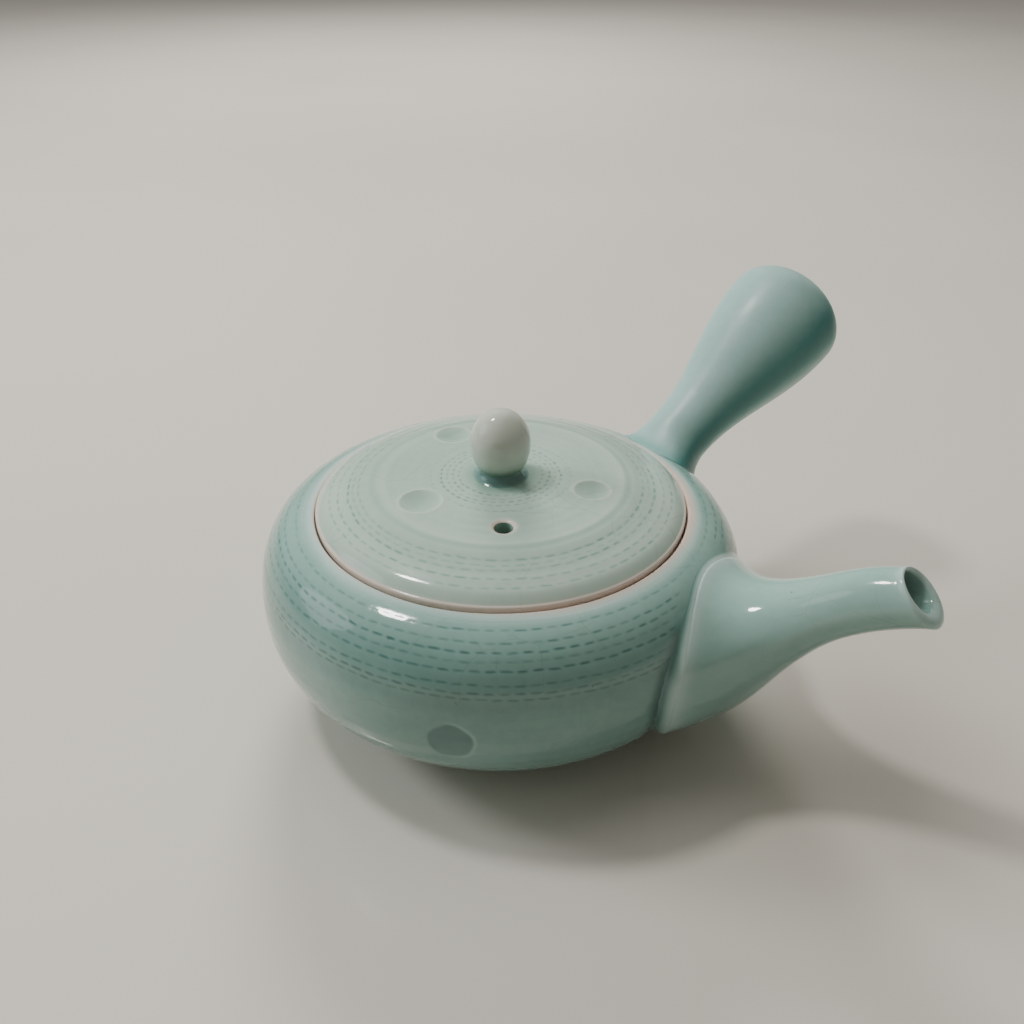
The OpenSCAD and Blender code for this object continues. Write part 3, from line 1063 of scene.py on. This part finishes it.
def build_lid():
    """The lid's low cone with its dashes, dimples and steam hole."""
    top, line = lid_line()
    r = line[:, :1]
    upper = np.zeros((len(line), 1))
    upper[:len(top)] = 1
    dashes = np.zeros((len(line), LID_COLUMNS))
    dashes[:len(top)] = lid_dashes(top)
    groove = hump(r - BREAK_R, 0.55) * upper
    crest = hump(r - BREAK_R + 2.2, 1.2) * upper
    pool = -0.2 - 0.12 * smooth_step((r - 35) / 6) + 0.7 * dashes + 0.16 * groove - 0.1 * crest
    pool = pool - 0.6 * smooth_step((r - 44.3) / 1.0)
    pool = pool + 0.3 * hump(r - 6.5, 2.6) * upper
    lift = -0.02 * dashes - 0.28 * groove + 0.02 * np.sin(r * 2.1) * upper
    grid = revolve(line, LID_COLUMNS, lift)
    pool = press_dimples(grid, pool, upper)
    pool = sink_vent(grid, pool, upper)
    lid = make_piece("lid_plate", grid, pool, lid_glaze, "lid")
    pierce(lid, [((*VENT, SEAM_H - 5), (*VENT, SEAM_H + 12), VENT_R)])


def build_flange():
    """The bare ring under the lid that keeps it in the mouth."""
    inner = LEDGE_R - 3.6
    outer = LEDGE_R - 0.6
    low = LEDGE_H - 6.4
    line = [(outer, LEDGE_H)]
    line += arc((outer - 0.8, low + 0.8), 0.8, 0, -90)
    line += arc((inner + 0.8, low + 0.8), 0.8, 270, 180)
    line += [(inner, LEDGE_H)]
    line = resample(line + [line[0]], lambda r, z: 0.5)[:-1]
    turns = turns_of(SMALL_COLUMNS * 2)
    lift = 0.04 * np.sin(6 * turns + 1) + 0.02 * np.sin(line[:, 1:] * 5)
    inside = (line[:, 1:] < LEDGE_H - 0.1) & (line[:, :1] > inner - 1)
    grid = revolve(line, SMALL_COLUMNS * 2, lift * inside)
    make_piece("lid_flange", grid, 0.0, clay, "lid_ring")


def knob_egg():
    """The knob's outline from its top down to where it meets the collar."""
    egg = []
    for a in np.radians(np.linspace(89.9, -58, 90)):
        fullness = 0.62 if a < 0 else 0.96
        z = KNOB_MID + KNOB_HALF_H * math.sin(a)
        if z > KNOB_FOOT:
            egg.append((KNOB_R * math.cos(a) ** fullness, z))
    return egg


def build_knob():
    """The knob: an egg whose lower half is the fuller one."""
    egg = knob_egg()
    neck_r = egg[-1][0]
    line = np.array(egg + [(neck_r, KNOB_FOOT - 0.1), (0, KNOB_FOOT - 0.1)])
    grid = revolve(line, SMALL_COLUMNS)
    grid[..., 0] *= 1 + 0.012 * np.sin(2 * turns_of(SMALL_COLUMNS))
    height = (line[:, 1:] - KNOB_FOOT) / (2 * KNOB_HALF_H)
    pool = 0.05 - 0.35 * smooth_step((height - 0.5) / 0.4) + 0.5 * hump(height, 0.14)
    make_piece("knob", grid, pool, knob_glaze, "lid")


def build_knob_collar():
    """The small dished collar under the knob, where the glaze pools."""
    neck_r = knob_egg()[-1][0]
    low = SEAM_H + CROWN_H - 0.5
    reach = 2.9
    dish = arc((neck_r + reach - 0.1, KNOB_FOOT + 0.75), reach, 186, 268, 20)
    line = [(0, KNOB_FOOT + 0.4), (neck_r - 0.1, KNOB_FOOT + 0.4)] + dish
    line += [(neck_r + reach, low), (0, low)]
    line = resample(line + [line[0]], lambda r, z: 0.25)[:-1]
    grid = revolve(line, SMALL_COLUMNS)
    pool = 0.42 - 0.4 * smooth_step((line[:, :1] - neck_r - 0.8) / 2.0)
    make_piece("knob_collar", grid, pool, glaze, "lid")


# Stage, light and camera

def build_floor():
    """A wide flat floor at height 0."""
    mesh = bpy.data.meshes.new("floor")
    ways = [(-1, -1), (1, -1), (1, 1), (-1, 1)]
    corners = [(x * FLOOR_HALF, y * FLOOR_HALF, 0) for x, y in ways]
    mesh.from_pydata(corners, [], [(0, 1, 2, 3)])
    mesh.materials.append(polished_floor("floor"))
    floor = bpy.data.objects.new("floor", mesh)
    bpy.context.scene.collection.objects.link(floor)


def add_lamp(name, direction, distance, size, watts, colour, mirrored=True):
    """A round soft light that shines from a direction towards the middle of the pot.
    One that isn't mirrored lights the glaze without showing in it."""
    data = bpy.data.lights.new(name, "AREA")
    data.shape = "DISK"
    data.size = size
    data.energy = watts
    data.color = colour
    lamp = bpy.data.objects.new(name, data)
    away = Vector(direction).normalized()
    lamp.location = Vector(LIT_POINT) + away * distance
    lamp.visible_glossy = mirrored
    lamp.rotation_euler = away.to_track_quat("Z", "Y").to_euler()
    bpy.context.scene.collection.objects.link(lamp)


def light_world(colour, strength):
    """Even light from all around."""
    world = bpy.data.worlds.new("studio")
    world.use_nodes = True
    sky = world.node_tree.nodes["Background"]
    sky.inputs["Color"].default_value = colour
    sky.inputs["Strength"].default_value = strength
    bpy.context.scene.world = world


def add_camera():
    """The camera that sees the pot as the photo does."""
    data = bpy.data.cameras.new("camera")
    data.sensor_width = SENSOR_WIDTH
    data.lens = CAMERA_LENS
    camera = bpy.data.objects.new("camera", data)
    camera.location = CAMERA_AT
    camera.rotation_euler = [math.radians(a) for a in CAMERA_TURNS]
    bpy.context.scene.collection.objects.link(camera)
    bpy.context.scene.camera = camera


build_bowl()
build_foot_ring()
build_mouth_ring()
build_spout()
build_spout_seam()
build_handle()
build_handle_seam()
build_lid()
build_flange()
build_knob()
build_knob_collar()

build_floor()
add_lamp("ceiling_lamp", (-0.45, -0.05, 0.89), 0.8, 0.115, 2.5, (1.0, 0.97, 0.92))
add_lamp("back_window", (-0.5, 0.68, 0.5), 1.4, 0.5, 15.5, (1.0, 0.97, 0.93), mirrored=False)
add_lamp("left_window", (-0.85, -0.2, 0.45), 1.5, 0.4, 9.5, (0.96, 0.98, 1.0), mirrored=False)
add_lamp("left_panel", (-0.85, -0.45, 0.45), 1.6, 0.9, 2.8, (0.93, 0.97, 1.0))
add_lamp("ceiling", (-0.1, 0.2, 1.0), 1.6, 1.2, 4.6, (1.0, 0.98, 0.95), mirrored=False)
light_world(linear(216, 211, 202), 0.33)
add_camera()
